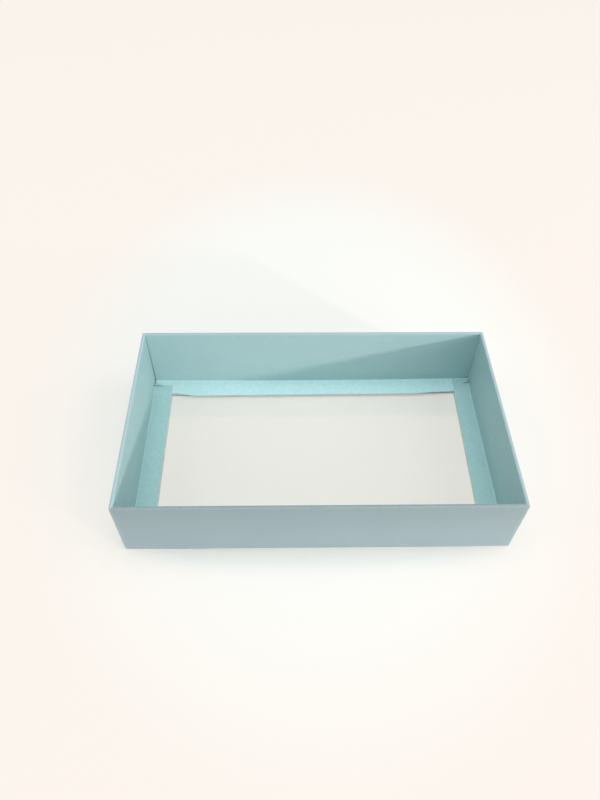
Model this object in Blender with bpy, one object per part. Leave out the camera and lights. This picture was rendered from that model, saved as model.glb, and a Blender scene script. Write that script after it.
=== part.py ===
"""Window tray of an acetate box, made as a rigid set-up box.

Grey board walls stand around a floor board with a cut-out. Gummed paper stays hold the board
corners. A strip of pale blue cover paper wraps each wall: it is turned under the floor, runs up
the outer face, over the rim, down the inner face and ends in a foot on the floor. A clear acetate
window is taped inside the floor board and the feet hide its edge. A blue base sheet closes the
underside. +X runs along the long side, +Y to the back, +Z up. The origin is under the centre.
"""
import math

import bpy

MM = 0.001

# Overall size
BOX_WIDTH = 180.0 * MM
BOX_DEPTH = 110.0 * MM
BOX_HEIGHT = 35.0 * MM

# How far each wall leans outward from the table to the rim
FLARE = 1.2 * MM

# Sheet thicknesses
BOARD = 0.9 * MM
COVER_PAPER = 0.2 * MM
BASE_PAPER = 0.2 * MM
STAY_PAPER = 0.12 * MM
ACETATE = 0.25 * MM
TAPE = 0.08 * MM

# Glue lines and open joints
GLUE = 0.06 * MM
BOARD_JOINT = 0.1 * MM
PAPER_JOINT = 0.05 * MM

# Cover strips
FOLD_RADIUS = 0.22 * MM
FOLD_STEPS = 3
TURN_UNDER = 10.0 * MM
FOOT_LONG_SIDES = 10.1 * MM
FOOT_SHORT_SIDES = 10.4 * MM
FOOT_RELIEF = 4.4 * MM
RELIEF_RISE = 0.12 * MM
RELIEF_CUT = 0.05 * MM

# Corner stays
STAY_LEG = 14.0 * MM
STAY_END_MARGIN = 1.0 * MM

# Window and base sheet
WINDOW_OVERLAP = 9.0 * MM
TAPE_WIDTH = 6.0 * MM
TAPE_SETBACK = 1.5 * MM
BASE_INSET = 2.0 * MM

# Distances inward from the outer face of a wall
STAY_DEPTH = COVER_PAPER + GLUE
BOARD_DEPTH = STAY_DEPTH + STAY_PAPER + GLUE
WALL = BOARD_DEPTH + BOARD + GLUE + COVER_PAPER

# Heights above the surface that the tray stands on
MARGIN_BOTTOM = BASE_PAPER + GLUE
BOARD_BOTTOM = MARGIN_BOTTOM + COVER_PAPER + GLUE
FLOOR_TOP = BOARD_BOTTOM + BOARD
TAPE_BOTTOM = FLOOR_TOP + GLUE
WINDOW_BOTTOM = TAPE_BOTTOM + TAPE + GLUE
LONG_FOOT_BOTTOM = WINDOW_BOTTOM + ACETATE + GLUE
SHORT_FOOT_BOTTOM = LONG_FOOT_BOTTOM + COVER_PAPER + GLUE
BOARD_TOP = BOX_HEIGHT - COVER_PAPER - GLUE

# How far inward of the rim the leaning walls are at the feet
FOOT_LEAN = FLARE * (1.0 - LONG_FOOT_BOTTOM / BOX_HEIGHT)

# Half sizes of the cut-out and of the window sheet
CUTOUT_X = BOX_WIDTH / 2 - FOOT_LEAN - WALL - FOOT_SHORT_SIDES
CUTOUT_Y = BOX_DEPTH / 2 - FOOT_LEAN - WALL - FOOT_LONG_SIDES
WINDOW_X = CUTOUT_X + WINDOW_OVERLAP
WINDOW_Y = CUTOUT_Y + WINDOW_OVERLAP

# Finishes: colour, roughness, see-through share
BLUE_PAPER = ((0.42, 0.68, 0.74), 0.55, 0.0)
GREY_BOARD = ((0.62, 0.58, 0.48), 0.9, 0.0)
KRAFT_PAPER = ((0.47, 0.33, 0.19), 0.85, 0.0)
CLEAR_ACETATE = ((0.97, 0.98, 0.98), 0.05, 0.95)
CLEAR_TAPE = ((0.90, 0.89, 0.82), 0.4, 0.6)


def clear_scene():
    """Remove every object of the scene that the script starts in."""
    for obj in list(bpy.data.objects):
        bpy.data.objects.remove(obj, do_unlink=True)


def finish(name, values):
    """A plain Principled material in the colour and gloss of one sub-part."""
    colour, roughness, clear_share = values
    material = bpy.data.materials.new(name)
    material.use_nodes = True
    shader = material.node_tree.nodes["Principled BSDF"]
    shader.inputs["Base Color"].default_value = (*colour, 1.0)
    shader.inputs["Roughness"].default_value = roughness
    shader.inputs["Metallic"].default_value = 0.0
    shader.inputs["Transmission Weight"].default_value = clear_share
    return material


def add_piece(name, vertices, faces, values):
    """Put one closed mesh into the scene as the named sub-part."""
    mesh = bpy.data.meshes.new(name)
    mesh.from_pydata(vertices, [], faces)
    mesh.validate()
    mesh.materials.append(finish(name + "_finish", values))
    piece = bpy.data.objects.new(name, mesh)
    bpy.context.scene.collection.objects.link(piece)
    return piece


def lean(height):
    """How far a wall lies inward of its place at the rim, at a height above the table."""
    return FLARE * (1.0 - height / BOX_HEIGHT)


def prism(outline, bottom, top, top_outline=None):
    """Vertices and faces of an outline, seen anticlockwise from above, raised from bottom to top."""
    count = len(outline)
    vertices = [(x, y, bottom) for x, y in outline] + [(x, y, top) for x, y in top_outline or outline]
    sides = [(i, (i + 1) % count, (i + 1) % count + count, i + count) for i in range(count)]
    return vertices, [tuple(reversed(range(count))), tuple(range(count, 2 * count))] + sides


def rectangle(low_x, high_x, low_y, high_y):
    """The four corners of a rectangle, anticlockwise from above."""
    return [(low_x, low_y), (high_x, low_y), (high_x, high_y), (low_x, high_y)]


def frame_plate(name, half_x, half_y, bottom, top, values):
    """A flat sheet with the window's cut-out through it."""
    outer = rectangle(-half_x, half_x, -half_y, half_y)
    inner = rectangle(-CUTOUT_X, CUTOUT_X, -CUTOUT_Y, CUTOUT_Y)
    vertices = [(x, y, z) for z in (bottom, top) for ring in (outer, inner) for x, y in ring]
    faces = []
    for i in range(4):
        j = (i + 1) % 4
        faces.append((i, i + 4, j + 4, j))
        faces.append((i + 8, j + 8, j + 12, i + 12))
        faces.append((i, j, j + 8, i + 8))
        faces.append((i + 4, i + 12, j + 12, j + 4))
    return add_piece(name, vertices, faces, values)


class Side:
    """One side of the box: local x runs along the wall and local y inward from its outer face."""

    def __init__(self, name, turn, half_along, half_across, is_long):
        self.name = name
        self.turn = turn
        self.half_along = half_along
        self.half_across = half_across
        self.is_long = is_long

    def place(self, piece):
        """Move a piece made in the side's own frame to its wall."""
        out_x = math.sin(self.turn)
        out_y = -math.cos(self.turn)
        piece.rotation_euler = (0.0, 0.0, self.turn)
        piece.location = (out_x * self.half_across, out_y * self.half_across, 0.0)
        return piece


HALF_W = BOX_WIDTH / 2
HALF_D = BOX_DEPTH / 2
SIDES = (
    Side("front", 0.0, HALF_W, HALF_D, True),
    Side("right", math.pi / 2, HALF_D, HALF_W, False),
    Side("back", math.pi, HALF_W, HALF_D, True),
    Side("left", -math.pi / 2, HALF_D, HALF_W, False),
)


def wall_board(side):
    """A leaning board wall: the long ones run to the corners and the short ones fit between."""
    end_gap = BOARD_DEPTH if side.is_long else BOARD_DEPTH + BOARD + BOARD_JOINT
    outlines = []
    for level in (BOARD_BOTTOM, BOARD_TOP):
        depth = BOARD_DEPTH + lean(level)
        half = side.half_along - end_gap - lean(level)
        outlines.append(rectangle(-half, half, depth, depth + BOARD))
    board = prism(outlines[0], BOARD_BOTTOM, BOARD_TOP, outlines[1])
    return side.place(add_piece("wall_board_" + side.name, *board, GREY_BOARD))


def corner_stay(name, sign_x, sign_y):
    """A strip of gummed paper folded round the outside of one board corner."""
    near = STAY_DEPTH
    far = STAY_DEPTH + STAY_PAPER
    legs = [(near, near), (STAY_LEG, near), (STAY_LEG, far), (far, far), (far, STAY_LEG), (near, STAY_LEG)]
    levels = (BOARD_BOTTOM + STAY_END_MARGIN, BOARD_TOP - STAY_END_MARGIN)
    outlines = []
    for level in levels:
        half_x = HALF_W - lean(level)
        half_y = HALF_D - lean(level)
        outline = [(sign_x * (half_x - x), sign_y * (half_y - y)) for x, y in legs]
        if sign_x * sign_y < 0:
            outline.reverse()
        outlines.append(outline)
    return add_piece(name, *prism(outlines[0], *levels, outlines[1]), KRAFT_PAPER)


def rounded_path(corners, radius):
    """Points and left-hand normals along a path of straight runs whose corners are arcs."""
    stations = []
    for i, (x, z) in enumerate(corners):
        before = corners[i - 1] if i else None
        after = corners[i + 1] if i + 1 < len(corners) else None
        into = math.atan2(z - before[1], x - before[0]) if before else None
        out = math.atan2(after[1] - z, after[0] - x) if after else None
        if before is None or after is None:
            heading = out if before is None else into
            stations.append((x, z, -math.sin(heading), math.cos(heading)))
            continue
        turn = math.remainder(out - into, 2 * math.pi)
        setback = radius * math.tan(abs(turn) / 2)
        side = math.copysign(1.0, turn)
        start_x = x - setback * math.cos(into)
        start_z = z - setback * math.sin(into)
        centre_x = start_x - side * radius * math.sin(into)
        centre_z = start_z + side * radius * math.cos(into)
        for step in range(FOLD_STEPS + 1):
            heading = into + turn * step / FOLD_STEPS
            normal = (-math.sin(heading), math.cos(heading))
            point = (centre_x - side * radius * normal[0], centre_z - side * radius * normal[1])
            stations.append((*point, *normal))
    return stations


def cover_strip(side):
    """One wall's cover paper, folded along a path from the turned-under margin to the foot.

    At each point of the path the sheet has a left and a right end. They follow the mitre at the
    box's corners, so the half length is the wall's half length less the depth from the outer face.
    The feet end square: the long ones at the inner walls and the short ones at their relief cuts.
    """
    half_sheet = COVER_PAPER / 2
    foot = FOOT_LONG_SIDES if side.is_long else FOOT_SHORT_SIDES
    foot_bottom = LONG_FOOT_BOTTOM if side.is_long else SHORT_FOOT_BOTTOM
    inner = WALL - half_sheet
    foot_level = foot_bottom + half_sheet
    corners = [
        (TURN_UNDER, MARGIN_BOTTOM + half_sheet),
        (half_sheet, MARGIN_BOTTOM + half_sheet),
        (half_sheet, BOX_HEIGHT - half_sheet),
        (inner, BOX_HEIGHT - half_sheet),
        (inner, foot_level),
        (WALL + foot, foot_level),
    ]
    stations = rounded_path(corners, FOLD_RADIUS)
    foot_stations = FOLD_STEPS + 2
    end_gap = PAPER_JOINT if side.is_long else FOOT_RELIEF
    foot_half = side.half_along - FOOT_LEAN - WALL - end_gap
    rows = [(*station, None) for station in stations[:-foot_stations]]
    if not side.is_long:
        relief_top = foot_level + RELIEF_RISE
        normal = stations[-foot_stations][2:]
        rows.append((inner, relief_top + RELIEF_CUT, *normal, None))
        rows.append((inner, relief_top, *normal, foot_half))
    rows += [(*station, foot_half) for station in stations[-foot_stations:]]

    vertices = []
    for depth, height, normal_x, normal_z, fixed_half in rows:
        for offset in (half_sheet, -half_sheet):
            z = height + normal_z * offset
            x = depth + normal_x * offset + lean(z)
            half = side.half_along - x - PAPER_JOINT if fixed_half is None else fixed_half
            vertices += [(-half, x, z), (half, x, z)]
    faces = [(0, 2, 3, 1)]
    for row in range(len(rows) - 1):
        a = 4 * row
        b = a + 4
        faces.append((a, a + 1, b + 1, b))
        faces.append((a + 1, a + 3, b + 3, b + 1))
        faces.append((a + 3, a + 2, b + 2, b + 3))
        faces.append((a + 2, a, b, b + 2))
    last = 4 * (len(rows) - 1)
    faces.append((last, last + 1, last + 3, last + 2))
    piece = add_piece("cover_paper_" + side.name, vertices, faces, BLUE_PAPER)
    return side.place(piece)


def window_tape(side):
    """A strip of double-sided tape that holds one edge of the window to the floor board."""
    edge_depth = FOOT_LEAN + WALL + (FOOT_LONG_SIDES if side.is_long else FOOT_SHORT_SIDES)
    outer = edge_depth - TAPE_SETBACK - TAPE_WIDTH
    along = CUTOUT_X if side.is_long else CUTOUT_Y
    outline = rectangle(-along, along, outer, outer + TAPE_WIDTH)
    strip = prism(outline, TAPE_BOTTOM, TAPE_BOTTOM + TAPE)
    return side.place(add_piece("window_tape_" + side.name, *strip, CLEAR_TAPE))


def build():
    """Make every sub-part of the tray."""
    clear_scene()
    foot_x = HALF_W - FLARE
    foot_y = HALF_D - FLARE
    inset = BOARD_DEPTH + BOARD + BOARD_JOINT
    frame_plate("floor_board", foot_x - inset, foot_y - inset, BOARD_BOTTOM, FLOOR_TOP, GREY_BOARD)
    frame_plate("base_paper", foot_x - BASE_INSET, foot_y - BASE_INSET, 0.0, BASE_PAPER, BLUE_PAPER)
    window = rectangle(-WINDOW_X, WINDOW_X, -WINDOW_Y, WINDOW_Y)
    add_piece("acetate_window", *prism(window, WINDOW_BOTTOM, WINDOW_BOTTOM + ACETATE), CLEAR_ACETATE)
    for side in SIDES:
        wall_board(side)
        cover_strip(side)
        window_tape(side)
    for end, sign_y in (("front", -1), ("back", 1)):
        for hand, sign_x in (("left", -1), ("right", 1)):
            corner_stay(f"corner_stay_{end}_{hand}", sign_x, sign_y)


build()
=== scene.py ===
import math

import bpy
import numpy as np
from mathutils import Matrix, Vector


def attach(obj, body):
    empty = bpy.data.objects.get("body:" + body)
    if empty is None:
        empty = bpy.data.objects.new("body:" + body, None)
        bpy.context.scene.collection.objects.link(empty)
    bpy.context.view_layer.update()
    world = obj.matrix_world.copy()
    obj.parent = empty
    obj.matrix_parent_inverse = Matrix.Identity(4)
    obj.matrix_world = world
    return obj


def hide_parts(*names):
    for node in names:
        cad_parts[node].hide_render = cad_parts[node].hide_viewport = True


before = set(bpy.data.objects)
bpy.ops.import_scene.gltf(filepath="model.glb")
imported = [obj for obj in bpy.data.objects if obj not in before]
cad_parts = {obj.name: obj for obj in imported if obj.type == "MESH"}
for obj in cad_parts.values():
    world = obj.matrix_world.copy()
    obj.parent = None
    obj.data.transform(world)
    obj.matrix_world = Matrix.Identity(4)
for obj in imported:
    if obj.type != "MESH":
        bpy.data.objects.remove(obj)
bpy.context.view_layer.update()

# A millimetre, and a length too small to matter
MM = 0.001
TINY = 1e-9

# Sizes of the tray, the same as in the part
HALF_LENGTH = 90.0 * MM
HALF_DEPTH = 55.0 * MM
HEIGHT = 35.0 * MM
FLARE = 1.2 * MM
BOARD = 0.9 * MM
PAPER = 0.2 * MM
CORNER_PAPER = 0.12 * MM
FILM = 0.25 * MM
TAPE = 0.08 * MM
GLUE = 0.06 * MM
BOARD_JOINT = 0.1 * MM
PAPER_JOINT = 0.05 * MM
TURN_UNDER = 10.0 * MM
LONG_FOOT = 10.1 * MM
SHORT_FOOT = 10.4 * MM
FOOT_END = 4.9 * MM
WINDOW_OVERLAP = 9.0 * MM
BASE_INSET = 2.0 * MM

BOARD_DEPTH = PAPER + GLUE + CORNER_PAPER + GLUE
WALL = BOARD_DEPTH + BOARD + GLUE + PAPER
MARGIN_LEVEL = PAPER + GLUE
FLOOR_BOTTOM = MARGIN_LEVEL + PAPER + GLUE
FLOOR_TOP = FLOOR_BOTTOM + BOARD
FILM_BOTTOM = FLOOR_TOP + GLUE + TAPE + GLUE
LONG_FOOT_LEVEL = FILM_BOTTOM + FILM + GLUE
SHORT_FOOT_LEVEL = LONG_FOOT_LEVEL + PAPER + GLUE
FOOT_LEAN = FLARE * (1.0 - (LONG_FOOT_LEVEL / HEIGHT))
CUT_X = HALF_LENGTH - FOOT_LEAN - WALL - SHORT_FOOT
CUT_Y = HALF_DEPTH - FOOT_LEAN - WALL - LONG_FOOT

# How much wider than drawn the hand-cut feet are at each corner of the cut-out: the short foot
# and the long foot. The corners are left or right (-1, 1) and front or back (-1, 1).
FOOT_ERRORS = {
    (-1, -1): (0.4 * MM, 0.0),
    (1, -1): (-0.05 * MM, 0.0),
    (-1, 1): (-0.15 * MM, 0.6 * MM),
    (1, 1): (-1.4 * MM, -0.6 * MM),
}

# Softness of the folds and corners
CORNER_ROUND = 0.5 * MM
RIM_ROUND = 0.42 * MM
MARGIN_ROUND = 0.3 * MM
SHARP_ANGLE = math.radians(42.0)
ARC_POINTS = 9

# A point of a cover paper's path has the number of its run: 0 on the margin under the floor, 1 on
# the outer face, 2 on the rim, 3 on the inner face and 4 on the foot. A fold has the numbers
# between those of its two runs, and its middle the half.
RIM_INNER_FOLD = 2.5
INNER_FACE = 3.0
FOOT_FOLD = 3.5
BOTH_ENDS = (-1, 1)

# Spacing of the places across a cover paper, and the places beside a foot's end and a slit. The
# cells whose middle is within SLIT_CELL of a slit's line are left open.
FINE_STEP = 0.05 * MM
COARSE_STEP = 1.6 * MM
STEP_GROWTH = 1.12
BESIDE_FOOT_END = 0.15 * MM
BESIDE_SLIT = np.array([-0.6, -0.2, -0.01, 0.01, 0.2, 0.6]) * MM
SLIT_CELL = 0.009 * MM

# A side foot settles on the window within SETTLE_HALF of the cut-out's edge, and the wall above
# it between two heights over the foot. Past the foot's ends the wall's edge drops to the floor.
SETTLE_HALF = 1.6 * MM
SETTLE_HIGH = 4.0 * MM
SETTLE_LOW = 0.1 * MM
WALL_DROP = 0.3 * MM
DROP_BEGINS = 0.05 * MM
DROP_FULL = 0.5 * MM

# How far the lift beside a foot's end goes: along the foot, inward from the wall and up the wall
LIFT_ALONG = 3.2 * MM
LIFT_INWARD = 6.0 * MM
LIFT_UP = 2.5 * MM

# How far from a slit its opening is felt, and how much of its raised edge goes up the wall
SLIT_SPREAD = 3.0 * MM
SLIT_ON_WALL = 0.5

# Share of the foot from which a loose edge begins to come up
LOOSE_FROM = 0.45

# Where along the path the paper's look changes, from none to all of it: the outside's colour, with its
# painted shade and painted sheen, the rim on its outer and its inner side, and the foot. The rim and the
# foot get painted light there.
OUTSIDE_FADES = (1.8, 1.4)
RIM_BEGINS = (1.4, 1.7)
RIM_ENDS = (2.7, 2.4)
FOOT_BEGINS = (3.2, 3.8)

# Rubbed edges: how much at each fold, and along the ends up to a place on the path, and how far
# the rubbing reaches
FOLD_WEAR = {0.5: 0.7, 1.5: 0.2, RIM_INNER_FOLD: 0.2, FOOT_FOLD: 0.1}
FOLD_WEAR_REACH = 0.45 * MM
END_WEAR = 0.8
END_WEAR_REACH = 0.6 * MM
END_WEAR_UP_TO = 2.9

# The thin flaps behind the inner corners: their thickness, the step from layer to layer, their
# fold, and how far they go from the rim, over the floor and from the corner
FLAP = 0.02 * MM
FLAP_STEP = 1.5 * FLAP
FLAP_ROUND = 0.1 * MM
FLAP_BELOW_RIM = 3.0 * MM
FLAP_ON_FLOOR = 7.0 * MM
FLAP_PAST_CORNER = 0.2 * MM
FLAP_WIDTH = 8.0 * MM


# Surfaces


def smooth(low, high, value):
    """0 below low, 1 above high and the cubic 3t^2 - 2t^3 between them."""
    t = np.clip((value - low) / (high - low), 0.0, 1.0)
    return t * t * (3.0 - 2.0 * t)


def hump(value, half_width):
    """A smooth hump: (1 - (value / half_width)^2)^2 inside the half width and 0 outside."""
    t = np.clip(value / half_width, -1.0, 1.0)
    return (1.0 - t * t) ** 2


def towards_ends(half, fine, coarse, growth):
    """Places from -half to half, close together at both ends and further apart inside.

    The n-th step from an end is fine times growth to the power n, and at most coarse.
    """
    most_steps = 200
    steps = np.minimum(fine * growth ** np.arange(most_steps), coarse)
    from_end = np.cumsum(steps)
    from_end = from_end[from_end < half - coarse / 2]
    side = half - np.concatenate([[0.0], from_end])
    return np.concatenate([-side, [0.0], side[::-1]])


def as_cut(points):
    """Shift of points in plan by the errors of the cut-out, mixed from its four corners.

    Each corner's share is the product of two straight lines, 1 at that corner and 0 at the
    others, carried on a little past the cut-out.
    """
    most = 1.2
    u = np.clip(points[..., 0] / CUT_X, -most, most)
    v = np.clip(points[..., 1] / CUT_Y, -most, most)
    shift = np.zeros(points.shape[:-1] + (2,))
    for (x, y), (short_foot, long_foot) in FOOT_ERRORS.items():
        share = (1.0 + x * u) * (1.0 + y * v) / 4.0
        shift[..., 0] -= x * short_foot * share
        shift[..., 1] -= y * long_foot * share
    return shift


def new_piece(name, vertices, faces, materials, face_slots, values=None):
    """A mesh object at the origin from arrays of points and of faces with four corners.

    face_slots has each face's place in the list of materials, and values holds named arrays
    with a number for each point.
    """
    mesh = bpy.data.meshes.new(name)
    mesh.vertices.add(len(vertices))
    mesh.vertices.foreach_set("co", np.ascontiguousarray(vertices, np.float32).ravel())
    mesh.loops.add(faces.size)
    mesh.loops.foreach_set("vertex_index", np.ascontiguousarray(faces, np.int32).ravel())
    mesh.polygons.add(len(faces))
    starts = np.arange(len(faces), dtype=np.int32) * faces.shape[1]
    mesh.polygons.foreach_set("loop_start", starts)
    mesh.polygons.foreach_set("material_index", np.ascontiguousarray(face_slots, np.int32))
    mesh.polygons.foreach_set("use_smooth", np.ones(len(faces), bool))
    for material in materials:
        mesh.materials.append(material)
    mesh.update(calc_edges=True)
    mesh.validate()
    for key, numbers in (values or {}).items():
        layer = mesh.attributes.new(key, "FLOAT", "POINT")
        layer.data.foreach_set("value", np.ascontiguousarray(numbers, np.float32).ravel())
    mesh.set_sharp_from_angle(angle=SHARP_ANGLE)
    piece = bpy.data.objects.new(name, mesh)
    bpy.context.scene.collection.objects.link(piece)
    return piece


def closed_sheet(front, back, keep):
    """Faces of a sheet between two grids of points, closed round every edge of the kept cells.

    front and back are arrays of rows by columns by three. A cell is the square between four
    neighbouring points and keep says which cells there are. Gives the points, the faces and a
    flag for each face that is a cut edge.
    """
    rows, columns = front.shape[:2]
    number = np.arange(rows * columns).reshape(rows, columns)
    shift = rows * columns
    a, b = number[:-1, :-1][keep], number[:-1, 1:][keep]
    c, d = number[1:, 1:][keep], number[1:, :-1][keep]
    faces = [np.stack([a, b, c, d], 1), np.stack([d, c, b, a], 1) + shift]
    padded = np.pad(keep, 1)
    open_before = keep & ~padded[:-2, 1:-1]
    open_after = keep & ~padded[2:, 1:-1]
    open_left = keep & ~padded[1:-1, :-2]
    open_right = keep & ~padded[1:-1, 2:]
    for mask, first, second in (
        (open_before, number[:-1, :-1], number[:-1, 1:]),
        (open_right, number[:-1, 1:], number[1:, 1:]),
        (open_after, number[1:, 1:], number[1:, :-1]),
        (open_left, number[1:, :-1], number[:-1, :-1]),
    ):
        p, q = first[mask], second[mask]
        faces.append(np.stack([q, p, p + shift, q + shift], 1))
    edge = np.concatenate([np.zeros(2 * len(a), int), np.ones(sum(map(len, faces[2:])), int)])
    points = np.concatenate([front.reshape(-1, 3), back.reshape(-1, 3)])
    return points, np.concatenate(faces), edge


def without_spares(points, faces, values):
    """Drop the points that no face uses and number the faces' corners again."""
    used = np.unique(faces)
    place = np.full(len(points), -1)
    place[used] = np.arange(len(used))
    return points[used], place[faces], {key: numbers[used] for key, numbers in values.items()}


def fold_path(corners, radii, shares):
    """Points along a path of straight runs whose corners are arcs.

    A run's points lie at the given shares of its length between its arcs. An arc of radius r
    turns about a centre that lies r to the inside of both runs. Gives each point, its left-hand
    normal, the number of its run (with the part of the turn done on an arc) and the distance.
    """
    corners = np.asarray(corners)
    legs = np.diff(corners, axis=0)
    lengths = np.hypot(legs[:, 0], legs[:, 1])
    headings = np.arctan2(legs[:, 1], legs[:, 0])
    turns = np.array([math.remainder(t, 2 * math.pi) for t in np.diff(headings)])
    setbacks = np.concatenate([[0.0], radii * np.tan(np.abs(turns) / 2), [0.0]])
    points, normals, runs = [], [], []
    for i, share in enumerate(shares):
        way = np.array([math.cos(headings[i]), math.sin(headings[i])])
        left = np.array([-way[1], way[0]])
        along = setbacks[i] + share * (lengths[i] - setbacks[i] - setbacks[i + 1])
        points.append(corners[i] + along[:, None] * way)
        normals.append(np.broadcast_to(left, (len(share), 2)))
        runs.append(np.full(len(share), float(i)))
        if i < len(turns):
            part = np.linspace(0.0, 1.0, ARC_POINTS)[1:-1]
            hand = math.copysign(1.0, turns[i])
            heading = headings[i] + turns[i] * part
            normal = np.stack([-np.sin(heading), np.cos(heading)], 1)
            centre = corners[i + 1] - setbacks[i + 1] * way + hand * radii[i] * left
            points.append(centre - hand * radii[i] * normal)
            normals.append(normal)
            runs.append(i + part)
    points, normals, runs = map(np.concatenate, (points, normals, runs))
    steps = np.hypot(*np.diff(points, axis=0).T)
    return points, normals, runs, np.concatenate([[0.0], np.cumsum(steps)])


def round_the_corner(length, depth, half, spare, deepest):
    """Place of a point on one side of the box, in plan.

    length runs from -1 to 1 along the contour at the given depth inward from the outer face. The
    contour is straight up to the corner's arc, whose radius is CORNER_ROUND less the depth, and
    goes an eighth of a turn round it. Deeper contours are straight up to the diagonal, and those
    past the deepest one end level with it. spare is what the sheet stops short. Gives the place
    along the side and the depth.
    """
    radius = np.maximum(CORNER_ROUND - depth, TINY)
    straight = half - np.maximum(CORNER_ROUND, np.minimum(depth, deepest))
    whole = straight + np.where(depth < CORNER_ROUND, radius * math.pi / 4, 0.0) - spare
    run = np.abs(length) * whole
    turn = np.maximum(run - straight, 0.0) / radius
    on_arc = run > straight
    along = np.where(on_arc, half - CORNER_ROUND + radius * np.sin(turn), run)
    inward = np.where(on_arc, CORNER_ROUND - radius * np.cos(turn), depth)
    return np.sign(length) * along, inward


def to_world(side, along, inward, height):
    """Turn a side's own directions into the tray's: along the side, inward from it and up."""
    cosine, sine = math.cos(side["turn"]), math.sin(side["turn"])
    y = inward - side["half_across"]
    parts = (along * cosine - y * sine, along * sine + y * cosine, height)
    return np.stack(np.broadcast_arrays(*parts), -1)


class CoverPaper:
    """One wall's cover paper, a sheet of even thickness folded along a path.

    The path runs from the margin under the floor up the outer face, over the rim, down the inner
    face and along the foot. Across it the sheet reaches to the box's corners, where its outer
    face goes round an arc. Both faces lie half a thickness either side of the path, along its
    normal. What changes along the path is held in columns, what changes across the sheet in
    rows, and the two together make a grid.
    """

    def __init__(self, side):
        """Lay out the path and the places, with no point moved up, along or off the wall yet."""
        self.side = side
        self.is_long = side["is_long"]
        self.foot = LONG_FOOT if self.is_long else SHORT_FOOT
        self.level = (LONG_FOOT_LEVEL if self.is_long else SHORT_FOOT_LEVEL) + PAPER / 2
        self.lay_path()
        self.lay_places()
        self.rise = np.zeros((len(self.run), len(self.columns)))
        self.slide = np.zeros_like(self.rise)
        self.off_wall = np.zeros_like(self.rise)

    def lay_path(self):
        """Five straight runs with arcs between them, and more points beside the fold to the foot.

        On the inner face the shares are 1 - (1 - t)^1.7 for even t, and the same the other way
        round on the foot.
        """
        middle = PAPER / 2
        corners = [
            (TURN_UNDER, MARGIN_LEVEL + middle),
            (middle, MARGIN_LEVEL + middle),
            (middle, HEIGHT - middle),
            (WALL - middle, HEIGHT - middle),
            (WALL - middle, self.level),
            (WALL + self.foot, self.level),
        ]
        radii = np.array([MARGIN_ROUND, RIM_ROUND, RIM_ROUND, self.side["fold_round"]])
        margin, outer_face, rim = (np.linspace(0.0, 1.0, count) for count in (9, 25, 5))
        near_end = 1.0 - np.linspace(1.0, 0.0, 40) ** 1.7
        shares = [margin, outer_face, rim, near_end, 1.0 - near_end[::-1]]
        path, self.normal, self.run, self.distance = fold_path(corners, radii, shares)
        self.depth, self.height = path[:, :1], path[:, 1:]
        self.row = self.run[:, None]
        self.inner = self.row > RIM_INNER_FOLD
        self.past_fold = self.row > FOOT_FOLD
        self.on_foot = np.maximum(self.depth - WALL, 0.0)
        self.foot_share = (self.on_foot / self.foot) * self.past_fold
        self.from_fold = self.distance[:, None] - self.distance_to(FOOT_FOLD)

    def distance_to(self, number):
        """Distance along the path to the point whose number is nearest to this one."""
        return self.distance[np.argmin(np.abs(self.run - number))]

    def lay_places(self):
        """Places across the sheet, closer together at its ends, a foot's ends and a slit."""
        ends = self.side["ends"]
        half = self.side["half"] - FOOT_LEAN - WALL
        self.inner_half = half
        self.foot_ends = np.array([-half + ends[0]["short"], half - ends[1]["short"]])
        columns = towards_ends(half, FINE_STEP, COARSE_STEP, STEP_GROWTH)
        if not self.is_long:
            beside = [self.foot_ends, self.foot_ends - BESIDE_FOOT_END, self.foot_ends + BESIDE_FOOT_END]
            columns = np.unique(np.concatenate([columns, *beside]))
        for sign, end in zip(BOTH_ENDS, ends):
            if end["slit"]:
                cut = sign * (half - end["slit_place"])
                columns = np.unique(np.concatenate([columns, cut + BESIDE_SLIT]))
        self.columns = columns
        self.place = columns[None, :]
        self.length = self.place / half

    def settle(self):
        """Let a side foot down on the window between the long feet, and the wall's edge with it.

        It comes down by a paper and its glue in a smooth step at the cut-out's edge. Beside the
        foot's ends the wall's edge drops further to the floor, in another smooth step.
        """
        low_on_wall = smooth(SETTLE_HIGH, SETTLE_LOW, self.height - self.level)
        near_floor = np.where(self.row > INNER_FACE, 1.0, low_on_wall) * self.inner
        in_window = smooth(CUT_Y + SETTLE_HALF, CUT_Y - SETTLE_HALF, np.abs(self.place))
        self.rise -= (PAPER + GLUE) * in_window * near_floor
        past_end = np.maximum(self.foot_ends[0] - self.place, self.place - self.foot_ends[1])
        self.rise -= WALL_DROP * smooth(DROP_BEGINS, DROP_FULL, past_end) * near_floor

    def lift_end(self, sign, end):
        """Lift the foot beside its end: a hump along it times one inward, fading up the wall."""
        from_end = self.inner_half - end["short"] - sign * self.place
        up_the_wall = smooth(LIFT_UP, 0.0, self.height - self.level)
        inward = np.where(self.past_fold, hump(self.on_foot, LIFT_INWARD), up_the_wall)
        along = hump(np.maximum(from_end, 0.0), LIFT_ALONG) * (from_end > -TINY)
        self.rise += end["lift"] * along * inward * self.inner

    def open_slit(self, sign, end):
        """Open the slit near an end by a hump along it.

        Both sides slide apart by half of it. The side towards the corner stands up from the
        foot, and half as much away from the wall.
        """
        from_cut = sign * self.place - (self.inner_half - end["slit_place"])
        shape = hump(self.from_fold - end["slit_centre"], end["slit_reach"]) * self.inner
        near = smooth(SLIT_SPREAD, 0.0, np.abs(from_cut))
        self.slide += sign * np.sign(from_cut) * end["slit"] * shape / 2 * near
        raised = end["stand"] * shape * (from_cut > 0.0) * near
        self.rise += raised * self.past_fold
        self.off_wall += SLIT_ON_WALL * raised * ~self.past_fold

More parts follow.
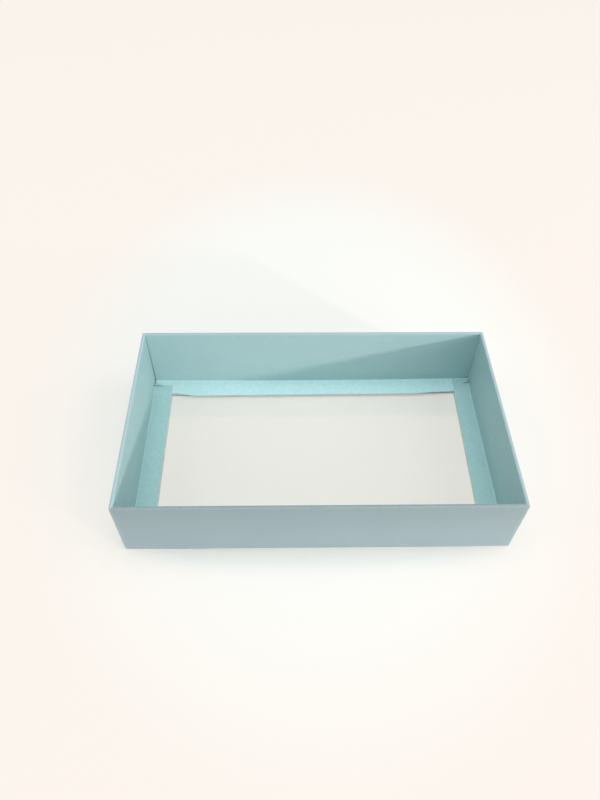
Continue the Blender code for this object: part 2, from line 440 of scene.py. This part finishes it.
    def loosen_edge(self, place, half_width, height):
        """Bring the foot's free edge up by a hump along it that grows over the foot's outer part."""
        growing = smooth(LOOSE_FROM * self.foot, self.foot, self.on_foot)
        self.rise += height * hump(self.place - place, half_width) * growing

    def reach(self):
        """How far the foot reaches past the cut-out, growing from its fold to its free edge.

        The overhang is the most that it reaches, and where along the side the reach begins, is
        full, is still full and ends, with a smooth step up and one down.
        """
        if not self.side["overhang"]:
            return 0.0
        most, begins, full, still_full, ends_at = self.side["overhang"]
        step_up = smooth(begins, full, self.place)
        step_down = smooth(ends_at, still_full, self.place)
        return most * step_up * step_down * self.foot_share

    def stand_off(self):
        """How far the inner face stands off its board, a parabola through three values.

        They hold at the floor for the first end, the middle and the second end. Up the wall the
        stand-off falls as the depth below the rim to the power 1.5, and on the foot it fades
        evenly towards the free edge.
        """
        first, middle, second = self.side["stand_off"]
        to_first, to_second = (1.0 - self.length) / 2, (1.0 + self.length) / 2
        at_floor = (first * to_first * (2 * to_first - 1.0) + middle * 4.0 * to_first * to_second
                    + second * to_second * (2 * to_second - 1.0))
        down = ((HEIGHT - self.height) / (HEIGHT - self.level)) ** 1.5
        return at_floor * self.inner * np.where(self.past_fold, 1.0 - self.on_foot / self.foot, down)

    def face(self, offset, away):
        """Points of one face, offset along the path's normal and moved away from the wall.

        The wall leans outward evenly, by FLARE from the table to the rim. Inside, the sheet stops
        short at its ends by a seam that widens smoothly from the rim to the floor.
        """
        depth = self.depth + self.normal[:, :1] * offset
        height = self.height + self.normal[:, 1:] * offset
        lean = FLARE * (1.0 - height / HEIGHT)
        down = smooth(HEIGHT, self.level, self.height)
        first, second = (end["rim"] + (end["floor"] - end["rim"]) * down for end in self.side["ends"])
        seam = np.where(self.length > 0, second, first)
        spare = np.where(self.inner, seam, PAPER_JOINT)
        deepest = np.where(self.inner, WALL, TURN_UNDER)
        along, inward = round_the_corner(self.length, depth, self.side["half"] - lean, spare, deepest)
        points = to_world(self.side, along + self.slide, inward + lean + away, height + self.rise)
        points[..., :2] += as_cut(points) * self.foot_share[..., None]
        return points

    def kept_cells(self):
        """Which cells there are: none of a side foot past its ends and none in a slit."""
        keep = np.ones((len(self.run) - 1, len(self.columns) - 1), bool)
        centre = (self.columns[1:] + self.columns[:-1]) / 2
        if not self.is_long:
            beyond = (centre < self.foot_ends[0]) | (centre > self.foot_ends[1])
            keep &= ~((self.row[1:] > INNER_FACE) & beyond[None, :])
        for sign, end in zip(BOTH_ENDS, self.side["ends"]):
            if end["slit"]:
                in_cut = np.abs(sign * centre - (self.inner_half - end["slit_place"])) < SLIT_CELL
                along_cut = np.abs(self.from_fold - end["slit_centre"]) < end["slit_reach"]
                along_cut &= self.inner
                keep &= ~(along_cut[1:] & along_cut[:-1] & in_cut[None, :])
        return keep

    def values(self):
        """Three numbers for each point of both faces, which the finish reads.

        wear is a sum of exponentials of the distance from each fold and, up to the rim's inner
        fold, from the sheet's ends. outside is 1 up to the rim, which has its own share of it.
        The third number is painted light: how much lighter the rim and the foot are painted than the
        walls, and on the front rim how much darker.
        """
        wear = sum(amount * np.exp(-np.abs(self.distance - self.distance_to(fold)) / FOLD_WEAR_REACH)
                   for fold, amount in FOLD_WEAR.items())
        to_end = (1.0 - np.abs(self.length)) * self.side["half"]
        at_ends = END_WEAR * np.exp(-to_end / END_WEAR_REACH) * (self.row < END_WEAR_UP_TO)
        outside = smooth(*OUTSIDE_FADES, self.row)
        on_rim = smooth(*RIM_BEGINS, self.row) * smooth(*RIM_ENDS, self.row)
        on_foot = smooth(*FOOT_BEGINS, self.row)
        values = {
            "wear": np.clip(wear[:, None] + at_ends, 0.0, 1.0),
            "outside": np.maximum(outside, self.side["outside_on_rim"] * on_rim),
            "painted_light": self.side["rim_painted_light"] * on_rim + self.side["foot_painted_light"] * on_foot,
        }
        shape = self.rise.shape
        return {key: np.tile(np.broadcast_to(numbers, shape).ravel(), 2)
                for key, numbers in values.items()}

    def made(self, name, materials):
        """The sheet as a piece, with its own errors of hand work."""
        if not self.is_long:
            self.settle()
        for sign, end in zip(BOTH_ENDS, self.side["ends"]):
            self.lift_end(sign, end)
            if end["slit"]:
                self.open_slit(sign, end)
        if self.side["loose"]:
            self.loosen_edge(*self.side["loose"])
        away = self.stand_off() + self.off_wall + self.reach()
        front = self.face(PAPER / 2, away)
        back = self.face(-PAPER / 2, away)
        points, faces, edge = closed_sheet(front, back, self.kept_cells())
        points, faces, values = without_spares(points, faces, self.values())
        return new_piece(name, points, faces, materials, edge, values)


def corner_flap(name, side, sign, layer, materials):
    """The thin end of a cover paper that turns the inner corner under the other papers.

    It follows the side's board down from near the rim, goes round an arc and on under the feet,
    as a sheet of even thickness either side of that path. layer 0 lies over layer 1.
    """
    below = FLAP_STEP * (1 + layer)
    depth = WALL - PAPER - below
    level = LONG_FOOT_LEVEL - below
    corners = [(depth, HEIGHT - FLAP_BELOW_RIM), (depth, level), (WALL + FLAP_ON_FLOOR, level)]
    shares = [np.linspace(0.0, 1.0, 12), np.linspace(0.0, 1.0, 5)]
    path, normal, _, _ = fold_path(corners, np.array([FLAP_ROUND]), shares)
    from_corner = np.linspace(-FLAP_PAST_CORNER, FLAP_WIDTH, 6)[None, :]
    grids = []
    for offset in (FLAP / 2, -FLAP / 2):
        inward = path[:, :1] + normal[:, :1] * offset
        height = path[:, 1:] + normal[:, 1:] * offset
        lean = FLARE * (1.0 - height / HEIGHT)
        along = sign * (side["half"] - lean - WALL - from_corner)
        grids.append(to_world(side, along, inward + lean, height))
    keep = np.ones((grids[0].shape[0] - 1, grids[0].shape[1] - 1), bool)
    points, faces, edge = closed_sheet(*grids, keep)
    return new_piece(name, points, faces, materials, edge)


def rounded_rectangle(half_x, half_y, radius):
    """Points and outward normals round a rectangle whose corners are quarter circles."""
    on_corner = np.linspace(0.0, 1.0, 7)
    on_side = np.linspace(0.0, 1.0, 60)[1:-1, None]
    points, normals = [], []
    for i, (sx, sy) in enumerate(((1, -1), (1, 1), (-1, 1), (-1, -1))):
        angle = (i - 1 + on_corner) * math.pi / 2
        normal = np.stack([np.cos(angle), np.sin(angle)], 1)
        centre = np.array([sx * (half_x - radius), sy * (half_y - radius)])
        points.append(centre + radius * normal)
        normals.append(normal)
    rings, ways = [], []
    for i in range(4):
        start, end = points[i][-1], points[(i + 1) % 4][0]
        rings += [points[i], start + (end - start) * on_side]
        ways += [normals[i], np.broadcast_to(normals[i][-1], (len(on_side), 2))]
    return np.concatenate(rings), np.concatenate(ways)


def framed_sheet(name, inset, bottom, thickness, lip, waver, materials):
    """A flat sheet with the window's hole in it and softly rounded cut edges.

    The profile across the frame goes round the sheet: along its top from the hole to the outer
    edge, down a half ellipse as wide as the lip, back along the bottom and up the other edge. It
    is carried round both rectangles at once, each point a mix of the hole's edge and the outer
    edge. waver is how far the cut edges stray, as a sum of three sine waves along the edge.
    """
    outer_round, hole_round = 0.6 * MM, 0.5 * MM
    outer, outer_way = rounded_rectangle(HALF_LENGTH - inset, HALF_DEPTH - inset, outer_round)
    hole, hole_way = rounded_rectangle(CUT_X, CUT_Y, hole_round)
    hole = hole + as_cut(hole)
    across = np.linspace(0.0, 1.0, 9)
    angle = np.linspace(math.pi / 2, -math.pi / 2, 9)[1:-1]
    flat, edge = np.zeros(len(across)), np.zeros(len(angle))
    share = np.concatenate([across, edge + 1.0, across[::-1], edge])[:, None, None]
    bulge = np.concatenate([flat, np.cos(angle), flat, -np.cos(angle)])[:, None]
    rise = np.concatenate([flat + 0.5, np.sin(angle) / 2, flat - 0.5, -np.sin(angle) / 2])
    way = outer_way * share + hole_way * (1.0 - share)
    plan = outer * share + hole * (1.0 - share)
    count = len(outer)
    t = np.arange(count) * 2 * math.pi / count
    stray = waver * (np.sin(17 * t + 1.0) + 0.6 * np.sin(41 * t + 2.0) + 0.4 * np.sin(97 * t))
    set_in = np.where(share == 1.0, -lip, 0.0) + np.where(share == 0.0, lip, 0.0)
    out = set_in[..., 0] + bulge * lip + stray * np.abs(bulge)
    plan = plan + way * out[..., None]
    z = np.broadcast_to((bottom + thickness * (0.5 + rise))[:, None], plan.shape[:2])
    points = np.concatenate([plan, z[..., None]], -1).reshape(-1, 3)
    number = np.arange(len(points)).reshape(z.shape)
    below = np.roll(number, -1, 0)
    faces = np.stack([number, below, np.roll(below, -1, 1), np.roll(number, -1, 1)], -1).reshape(-1, 4)
    cut = np.broadcast_to(bulge != 0.0, z.shape).astype(int).ravel()
    return new_piece(name, points, faces, materials, cut)


def window_film(name, material):
    """The clear sheet: flat where the feet hold it, with a faint slack wave in its free middle.

    The height is a sum of two slow waves of the place, a product of a sine and a cosine and a
    slanting sine, times a hump that is 0 at the edges of the cut-out.
    """
    fine, coarse, growth = 0.5 * MM, 2.0 * MM, 1.3
    xs = towards_ends(CUT_X + WINDOW_OVERLAP, fine, coarse, growth)
    ys = towards_ends(CUT_Y + WINDOW_OVERLAP, fine, coarse, growth)
    x, y = np.meshgrid(xs, ys)
    free = hump(x, CUT_X) * hump(y, CUT_Y)
    broad = 0.10 * MM * np.sin(x / (23.0 * MM) + 0.7) * np.cos(y / (17.0 * MM))
    slanting = 0.05 * MM * np.sin((x + 1.7 * y) / (14.0 * MM))
    slack = free * (broad + slanting)
    top = np.stack([x, y, FILM_BOTTOM + FILM + slack], -1)
    under = np.stack([x, y, FILM_BOTTOM + slack], -1)
    points, faces, edge = closed_sheet(top, under, np.ones((len(ys) - 1, len(xs) - 1), bool))
    return new_piece(name, points, faces, (material,), np.zeros_like(edge))


# Finishes


class Nodes:
    """A node tree that is built up by short calls, most of which give a socket."""

    def __init__(self, tree):
        """Start from a tree that is there."""
        self.tree = tree

    def link(self, source, target):
        """Carry a socket's value to another socket."""
        self.tree.links.new(source, target)

    def add(self, kind, inputs=None, **settings):
        """A new node with its settings, and each input linked to a socket or set to a value."""
        node = self.tree.nodes.new("ShaderNode" + kind)
        for key, value in settings.items():
            setattr(node, key, value)
        for key, value in (inputs or {}).items():
            if isinstance(value, bpy.types.NodeSocket):
                self.link(value, node.inputs[key])
            else:
                node.inputs[key].default_value = value
        return node

    def maths(self, operation, first, second):
        """The sum, product or larger of two values, as the operation says."""
        return self.add("Math", {0: first, 1: second}, operation=operation).outputs["Value"]

    def span(self, value, low, high, to_low=0.0, to_high=1.0, curve="LINEAR"):
        """The value carried from one range to another, held at the new range's ends."""
        ranges = {"Value": value, "From Min": low, "From Max": high, "To Min": to_low, "To Max": to_high}
        return self.add("MapRange", ranges, interpolation_type=curve).outputs["Result"]

    def seen_or_mirrored(self):
        """1 for rays from the camera, off a gloss or through something clear, otherwise 0."""
        rays = self.add("LightPath").outputs
        through = self.maths("MAXIMUM", rays["Is Glossy Ray"], rays["Is Transmission Ray"])
        return self.maths("MAXIMUM", rays["Is Camera Ray"], through)

    def mixed_shader(self, share, first, second):
        """Two shaders' outputs mixed by a share."""
        return self.add("MixShader", {0: share, 1: first, 2: second}).outputs[0]


class Finish(Nodes):
    """A material with a Principled shader, whose patterns follow the place on the piece."""

    def __init__(self, name, **sockets):
        """Make the material and set the shader's sockets, named with _ for each space."""
        self.material = bpy.data.materials.new(name)
        self.material.use_nodes = True
        super().__init__(self.material.node_tree)
        self.shader = self.tree.nodes["Principled BSDF"]
        self.surface = self.tree.nodes["Material Output"].inputs["Surface"]
        for key, value in sockets.items():
            self.shader.inputs[key.replace("_", " ")].default_value = value
        self.place = self.add("TexCoord").outputs["Object"]

    def set(self, socket, source):
        """Carry a socket's value to one of the shader's own."""
        self.link(source, self.shader.inputs[socket])

    def stretched(self, x, y, z):
        """The place on the piece, stretched by three factors."""
        return self.add("Mapping", {"Vector": self.place, "Scale": (x, y, z)}).outputs["Vector"]

    def ellipse(self, centre_y, radius_x, radius_y):
        """How far out a place lies in plan: 1 on the ellipse with these radii about the centre."""
        inputs = {"Vector": self.place, "Location": (0.0, -centre_y / radius_y, 0.0),
                  "Scale": (1.0 / radius_x, 1.0 / radius_y, 0.0)}
        about = self.add("Mapping", inputs).outputs["Vector"]
        return self.add("VectorMath", {0: about}, operation="LENGTH").outputs["Value"]

    def height(self):
        """The height above the table."""
        return self.add("SeparateXYZ", {"Vector": self.place}).outputs["Z"]

    def noise(self, scale, detail=3.0, roughness=0.55, distortion=0.0, place=None):
        """Noise from 0 to 1 whose features are about 1 / scale metres wide."""
        inputs = {"Vector": place or self.place, "Scale": scale, "Detail": detail,
                  "Roughness": roughness, "Distortion": distortion}
        return self.add("TexNoise", inputs).outputs["Fac"]

    def attribute(self, name):
        """One of the piece's own values."""
        return self.add("Attribute", attribute_name=name).outputs["Fac"]

    def scaled(self, colour, gain):
        """A colour, or a socket with one, times a socket's value."""
        return self.add("VectorMath", {0: colour, "Scale": gain}, operation="SCALE").outputs["Vector"]

    def mixed(self, share, first, second, blend="MIX"):
        """Two colours mixed by a share, each a socket or a colour."""
        colours = [value if isinstance(value, bpy.types.NodeSocket) else (*value, 1.0)
                   for value in (first, second)]
        inputs = {0: share, 6: colours[0], 7: colours[1]}
        return self.add("Mix", inputs, data_type="RGBA", blend_type=blend).outputs[2]

    def bump(self, height, depth, before=None):
        """A normal bent by a height from 0 to 1 that is so many metres deep, over another normal."""
        inputs = {"Strength": 1.0, "Distance": depth, "Height": height}
        if before is not None:
            inputs["Normal"] = before
        return self.add("Bump", inputs).outputs["Normal"]


def darker(colour, share):
    """A colour whose parts are a share of another's."""
    return [share * part for part in colour]


def cover_paper_finish(name, inner_colour, outer_colour_shade_sheen, core_colour):
    """Satin coated paper: cloudy colour, fine fibres and a lighter core where folds are rubbed.

    The feet and the rim get painted light: they are lighter than the walls (the front rim darker) by the
    share in the sheet's own values. The outside's colour holds painted shade and painted sheen, and on
    top of that painted light that makes it darker near the rim and lighter towards the table.
    """
    f = Finish(name, Specular_IOR_Level=0.38)
    clouds = f.noise(55.0, detail=2.0)
    mottle = f.noise(700.0, detail=4.0, roughness=0.6)
    fibres = f.noise(2600.0, roughness=0.6, distortion=2.5)
    # Painted light: the rim and the foot are painted lighter than the walls, and the front rim darker,
    # by the sheet's own value
    inside = f.scaled(inner_colour, f.maths("ADD", f.attribute("painted_light"), 1.0))
    # Painted light on the outside: darker towards the rim and lighter towards the table
    painted_light_by_height = f.span(f.height(), 0.0, 0.98 * HEIGHT, 1.12, 0.85)
    # The outside's colour with its painted shade and painted sheen, times the same painted light as the
    # rim and the foot and the painted light by height
    outside = f.scaled(outer_colour_shade_sheen, f.maths("ADD", f.attribute("painted_light"), painted_light_by_height))
    colour = f.mixed(f.attribute("outside"), inside, outside)
    colour = f.mixed(f.span(clouds, 0.3, 0.7, 0.0, 0.06), colour, (1.0, 1.0, 1.0), "SOFT_LIGHT")
    colour = f.mixed(f.span(mottle, 0.35, 0.75, 0.0, 0.35), colour, darker(inner_colour, 0.9))
    colour = f.mixed(f.span(fibres, 0.58, 0.72, 0.0, 0.16), colour, core_colour)
    patches = f.noise(380.0, detail=5.0, roughness=0.7)
    rubbed = f.maths("MULTIPLY", f.attribute("wear"), f.span(patches, 0.30, 0.62, 0.12, 0.45))
    f.set("Base Color", f.mixed(rubbed, colour, core_colour))
    f.set("Roughness", f.span(mottle, 0.3, 0.7, 0.44, 0.56))
    grain = f.noise(3200.0, detail=4.0, roughness=0.65, distortion=0.6)
    waves = f.noise(260.0, roughness=0.5)
    f.set("Normal", f.bump(waves, 0.03 * MM, before=f.bump(grain, 0.012 * MM)))
    return f.material


def paper_core_finish(name, colour):
    """The cut edge of the cover paper: pale fibre, a little uneven."""
    f = Finish(name, Roughness=0.9)
    fibres = f.span(f.noise(1800.0, detail=4.0), 0.35, 0.7)
    f.set("Base Color", f.mixed(fibres, colour, darker(colour, 0.8)))
    f.set("Normal", f.bump(f.noise(4000.0), 0.02 * MM))
    return f.material


def grey_board_finish(name, colour, layered):
    """Raw grey board: flecked with fibres, and with fine layers where it is cut."""
    f = Finish(name, Roughness=0.92, Specular_IOR_Level=0.25)
    shade = darker(colour, 0.72)
    flecks = f.noise(900.0, detail=5.0, roughness=0.7, distortion=1.5)
    base = f.mixed(f.span(flecks, 0.35, 0.7), colour, shade)
    specks = f.noise(2200.0, detail=2.0, roughness=0.5, distortion=2.0)
    base = f.mixed(f.span(specks, 0.66, 0.74, 0.0, 0.7), base, (0.16, 0.15, 0.13))
    if layered:
        layers = f.stretched(300.0, 300.0, 7000.0)
        grain = f.noise(1.0, detail=4.0, roughness=0.6, distortion=0.3, place=layers)
        base = f.mixed(f.span(grain, 0.4, 0.65, 0.0, 0.5), base, shade)
    else:
        grain = f.noise(1500.0, detail=4.0)
    f.set("Base Color", base)
    f.set("Normal", f.bump(grain, 0.05 * MM))
    return f.material


def kraft_finish(name):
    """Gummed brown paper with upright fibres."""
    f = Finish(name, Roughness=0.85)
    upright = f.stretched(900.0, 900.0, 180.0)
    fibres = f.noise(1.0, detail=4.0, roughness=0.6, distortion=0.4, place=upright)
    f.set("Base Color", f.mixed(f.span(fibres, 0.35, 0.7), (0.50, 0.35, 0.20), (0.38, 0.25, 0.13)))
    f.set("Normal", f.bump(fibres, 0.02 * MM))
    return f.material


def tape_finish(name):
    """Milky double-sided tape with fine speckle in its glue."""
    f = Finish(name)
    speckle = f.span(f.noise(1500.0), 0.3, 0.7)
    f.set("Base Color", f.mixed(speckle, (0.86, 0.85, 0.78), (0.78, 0.76, 0.68)))
    f.set("Roughness", f.span(f.noise(800.0), 0.3, 0.7, 0.3, 0.55))
    return f.material


def clear_film_finish(name, passed, gloss_face_on, gloss_edge_on):
    """Clear acetate: what is behind shows a little dimmed, under a thin gloss with faint scuffs.

    passed is the colour that each face lets through, and the last two are the gloss's share where
    the sheet is seen face on and edge on.
    """
    f = Finish(name)
    f.tree.nodes.remove(f.shader)
    clear = f.add("BsdfTransparent", {"Color": (*passed, 1.0)})
    scuffs = f.noise(240.0, detail=6.0, roughness=0.7)
    roughness = f.span(scuffs, 0.35, 0.75, 0.04, 0.22)
    gloss = f.add("BsdfAnisotropic", {"Color": (1.0, 1.0, 1.0, 1.0), "Roughness": roughness})
    edge_on = f.add("LayerWeight", {"Blend": 0.2}).outputs["Facing"]
    share = f.span(edge_on, 0.0, 1.0, gloss_face_on, gloss_edge_on)
    f.link(f.mixed_shader(share, clear.outputs[0], gloss.outputs[0]), f.surface)
    return f.material


# Two ellipses on the table, each with its centre's place along Y and its radii along X and Y
AROUND_TRAY = (60.0 * MM, 85.0 * MM, 85.0 * MM / 0.7)
ALONG_FRONT = (-54.0 * MM, 100.0 * MM, 14.0 * MM)


def table_finish(name, near, far, evened_near, evened_far, shown):
    """Matt white table, warmer away from the tray.

    From one ellipse round the tray to another of twice its size the near colour turns into the
    far one. The two evened shares say how much of the view shows unshaded, near the tray and
    away from it, and shown is the gain of the rest, so that the white stays below the brightest
    value. In a flat ellipse along the tray's front edge the shadow keeps its whole depth.
    """
    f = Finish(name, Roughness=0.8, Specular_IOR_Level=0.2)
    away = f.span(f.ellipse(*AROUND_TRAY), 1.0, 2.0, curve="SMOOTHSTEP")
    past_front = f.span(f.ellipse(*ALONG_FRONT), 0.55, 1.05, curve="SMOOTHSTEP")
    colour = f.mixed(away, near, far)
    seen = f.seen_or_mirrored()
    f.set("Base Color", f.scaled(colour, f.span(seen, 0.0, 1.0, 1.0, shown)))
    glow = f.add("Emission", {"Color": colour})
    evened = f.maths("MULTIPLY", seen, f.span(away, 0.0, 1.0, evened_near, evened_far))
    evened = f.maths("MULTIPLY", evened, past_front)
    f.link(f.mixed_shader(evened, f.shader.outputs[0], glow.outputs[0]), f.surface)
    return f.material


# Pieces

# The back paper is painted lighter than the sides' paper: painted light on the back wall and the back
# foot
BACK_BLUE_PAINTED_LIGHT = (0.384, 0.562, 0.582)
SIDE_BLUE = (0.298, 0.455, 0.465)
# The outside's blue is painted darker and greyer than the inside's: painted shade and painted sheen
OUTSIDE_BLUE_PAINTED_SHADE_SHEEN = (0.290, 0.360, 0.395)
PAPER_CORE = (0.72, 0.76, 0.71)
BASE_CORE = (0.92, 0.92, 0.88)
BOARD_GREY = (0.62, 0.58, 0.48)
BOARD_CUT = (0.94, 0.91, 0.85)
FILM_PASSES = (0.973, 0.972, 0.964)

back_blue_painted_light = cover_paper_finish("blue_cover_paper_back_painted_light", BACK_BLUE_PAINTED_LIGHT, OUTSIDE_BLUE_PAINTED_SHADE_SHEEN, PAPER_CORE)
blue = cover_paper_finish("blue_cover_paper", SIDE_BLUE, OUTSIDE_BLUE_PAINTED_SHADE_SHEEN, PAPER_CORE)
core = paper_core_finish("cover_paper_core", PAPER_CORE)
board = grey_board_finish("grey_board", BOARD_GREY, layered=False)
board_cut = grey_board_finish("grey_board_cut_edge", BOARD_CUT, layered=True)
base_edge = paper_core_finish("base_paper_core", BASE_CORE)
kraft = kraft_finish("gummed_corner_paper")
tape = tape_finish("window_tape")
film = clear_film_finish("clear_acetate", FILM_PASSES, gloss_face_on=0.02, gloss_edge_on=0.25)

# One end of a cover paper at the inner corner: the seam's width at the rim and at the floor, how
# far the foot stops short of the next wall, the lift beside the fold there, and how wide a slit
# opens. A slit also has how far its edge stands up, its place from the corner, and the middle and
# half length of its stretch along the path, measured from the fold.
PLAIN_END = {"rim": PAPER_JOINT, "floor": PAPER_JOINT, "short": FOOT_END, "lift": 0.0, "slit": 0.0}
OPEN_SEAM = {**PLAIN_END, "rim": 0.2 * MM, "floor": 0.55 * MM}
LIFTED_END = {
    **PLAIN_END,
    "short": 4.1 * MM,
    "lift": 0.2 * MM,
    "slit": 0.6 * MM,
    "stand": 0.6 * MM,
    "slit_place": 5.2 * MM,
    "slit_centre": 1.4 * MM,
    "slit_reach": 5.0 * MM,
}
SLIT_END = {
    **PLAIN_END,
    "short": 0.4 * MM,
    "lift": 0.3 * MM,
    "slit": 0.9 * MM,
    "stand": 0.8 * MM,
    "slit_place": 4.15 * MM,
    "slit_centre": 0.2 * MM,
    "slit_reach": 4.4 * MM,
}

# One side of the tray: its turn, its half length and half of the other size, its paper and the paper's
# two ends, the radius of the fold to the foot, the stand-off at the floor at the first end, the middle
# and the second end, the place, half width and height of a loose stretch of the foot's edge, the foot's
# overhang, the painted light that makes the rim and the foot lighter than the walls (darker where it is
# below zero), and the share of the outside's colour, with its painted shade and painted sheen, on the
# rim.
LONG_SIDE = {"half": HALF_LENGTH, "half_across": HALF_DEPTH, "is_long": True}
SHORT_SIDE = {"half": HALF_DEPTH, "half_across": HALF_LENGTH, "is_long": False}
RIGHT_ANGLE = math.pi / 2
SIDES = {
    "front": {
        **LONG_SIDE,
        "turn": 0.0,
        "paper": blue,
        "ends": (PLAIN_END, PLAIN_END),
        "fold_round": 0.5 * MM,
        "stand_off": (0.0, 0.0, 0.0),
        "loose": None,
        "overhang": None,
        "rim_painted_light": -0.1,
        "foot_painted_light": 0.27,
        "outside_on_rim": 1.0,
    },
    "right": {
        **SHORT_SIDE,
        "turn": RIGHT_ANGLE,
        "paper": blue,
        "ends": (PLAIN_END, SLIT_END),
        "fold_round": 0.9 * MM,
        "stand_off": (0.0, 0.0, 0.0),
        "loose": None,
        "overhang": None,
        "rim_painted_light": 0.45,
        "foot_painted_light": 0.30,
        "outside_on_rim": 1.0,
    },
    "back": {
        **LONG_SIDE,
        "turn": math.pi,
        "paper": back_blue_painted_light,
        "ends": (PLAIN_END, OPEN_SEAM),
        "fold_round": 0.6 * MM,
        "stand_off": (0.0, 1.1 * MM, 0.8 * MM),
        "loose": (-68.0 * MM, 16.0 * MM, 0.3 * MM),
        "overhang": (1.7 * MM, -86.0 * MM, -52.0 * MM, 64.5 * MM, 75.5 * MM),
        "rim_painted_light": 0.0,
        "foot_painted_light": 0.36,
        "outside_on_rim": 0.5,
    },
    "left": {
        **SHORT_SIDE,
        "turn": -RIGHT_ANGLE,
        "paper": blue,
        "ends": (LIFTED_END, PLAIN_END),
        "fold_round": 0.5 * MM,
        "stand_off": (0.0, 0.1 * MM, 0.3 * MM),
        "loose": None,
        "overhang": None,
        "rim_painted_light": 0.5,
        "foot_painted_light": 0.30,
        "outside_on_rim": 1.0,
    },
}
for name, side in SIDES.items():
    piece = CoverPaper(side).made("cover_" + name, (side["paper"], core))
    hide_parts("cover_paper_" + name)
    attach(piece, "root")
    layer = 1 if side["is_long"] else 0
    for end_name, sign in zip(("first", "second"), BOTH_ENDS):
        flap = corner_flap(f"flap_{name}_{end_name}", side, sign, layer, (blue, core))
        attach(flap, "root")

floor_inset = FLARE + BOARD_DEPTH + BOARD + BOARD_JOINT
floor_frame = framed_sheet("floor_frame", floor_inset, FLOOR_BOTTOM, BOARD, lip=0.12 * MM,
                           waver=0.02 * MM, materials=(board, board_cut))
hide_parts("floor_board")
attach(floor_frame, "root")

base_inset = FLARE + BASE_INSET
base_sheet = framed_sheet("base_sheet", base_inset, 0.0, PAPER, lip=0.03 * MM,
                          waver=0.01 * MM, materials=(blue, base_edge))
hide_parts("base_paper")
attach(base_sheet, "root")

window = window_film("clear_window", film)
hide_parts("acetate_window")
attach(window, "root")

for node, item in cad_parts.items():
    for prefix, finish in (("wall_board", board), ("corner_stay", kraft), ("window_tape", tape)):
        if node.startswith(prefix):
            item.material_slots[0].material = finish

# Table, light and camera

TABLE_NEAR = (0.985, 0.95, 0.91)
TABLE_FAR = (0.98, 0.905, 0.85)
TABLE_HALF = 4.0
TABLE_LEVEL = -0.02 * MM

table_mesh = bpy.data.meshes.new("table")
table_corners = [(x * TABLE_HALF, y * TABLE_HALF, TABLE_LEVEL)
                 for x, y in ((-1, -1), (1, -1), (1, 1), (-1, 1))]
table_mesh.from_pydata(table_corners, [], [(0, 1, 2, 3)])
white = table_finish("white_table", TABLE_NEAR, TABLE_FAR, evened_near=0.38, evened_far=0.90, shown=0.90)
table_mesh.materials.append(white)
table_top = bpy.data.objects.new("table", table_mesh)
bpy.context.scene.collection.objects.link(table_top)


def softbox(name, towards, distance, width, level, colour):
    """A square soft lamp aimed at the tray. level is what it adds to a white face turned to it."""
    lamp = bpy.data.lights.new(name, "AREA")
    lamp.shape = "SQUARE"
    lamp.size = width
    lamp.energy = level * math.pi ** 2 * distance ** 2
    lamp.color = colour
    item = bpy.data.objects.new(name, lamp)
    way = Vector(towards).normalized()
    item.location = way * distance
    item.rotation_euler = way.to_track_quat("Z", "Y").to_euler()
    bpy.context.scene.collection.objects.link(item)


LAMP_WHITE = (1.0, 0.97, 0.955)
LAMP_WARM = (1.0, 0.84, 0.81)

# Each lamp's name, direction from the tray, distance, width, level and colour
LAMPS = (
    ("overhead_softbox", (0.0, 0.0, 1.0), 1.4, 0.9, 0.33, LAMP_WHITE),
    ("left_softbox", (-1.0, 0.0, 0.8), 1.4, 0.9, 0.21, LAMP_WHITE),
    ("right_softbox", (1.0, 0.0, 0.8), 1.4, 0.9, 0.29, LAMP_WHITE),
    ("low_front_softbox", (1.2, -1.0, 0.4), 1.4, 0.6, 0.22, LAMP_WHITE),
    ("low_side_lamp", (3.7, -2.75, 1.0), 1.3, 0.05, 0.41, LAMP_WARM),
)
for lamp in LAMPS:
    softbox(*lamp)

ROOM_LIGHT = (0.755, 0.973, 1.0)
ROOM_LEVEL = 0.55

world = bpy.data.worlds.new("room")
bpy.context.scene.world = world
world.use_nodes = True
room = Nodes(world.node_tree)
backdrop = world.node_tree.nodes["Background"]
backdrop.inputs["Color"].default_value = (*TABLE_FAR, 1.0)
backdrop.inputs["Strength"].default_value = 1.0
dome = room.add("Background", {"Color": (*ROOM_LIGHT, 1.0), "Strength": ROOM_LEVEL})
shown = room.mixed_shader(room.seen_or_mirrored(), dome.outputs[0], backdrop.outputs[0])
room.link(shown, world.node_tree.nodes["World Output"].inputs["Surface"])

# The camera of the photograph: its focal length in pixels of the longer side, its place in
# metres and its turn, tilt and roll in degrees
SENSOR = 36.0
LONGER_SIDE = 800.0
FOCAL_LENGTH = 713.1
CAMERA_PLACE = (-0.01403, -0.22353, 0.29103)
CAMERA_TURN = -1.551
CAMERA_TILT = 41.979
CAMERA_ROLL = 0.890

camera_data = bpy.data.cameras.new("camera")
camera_data.sensor_width = SENSOR
camera_data.lens = SENSOR * FOCAL_LENGTH / LONGER_SIDE
camera_data.clip_start = 0.01
camera_data.clip_end = 50.0
camera = bpy.data.objects.new("camera", camera_data)
camera.matrix_world = (
    Matrix.Translation(CAMERA_PLACE)
    @ Matrix.Rotation(math.radians(CAMERA_TURN), 4, "Z")
    @ Matrix.Rotation(math.radians(CAMERA_TILT), 4, "X")
    @ Matrix.Rotation(math.radians(CAMERA_ROLL), 4, "Z"))
bpy.context.scene.collection.objects.link(camera)
bpy.context.scene.camera = camera
bpy.context.scene.view_settings.view_transform = "Standard"
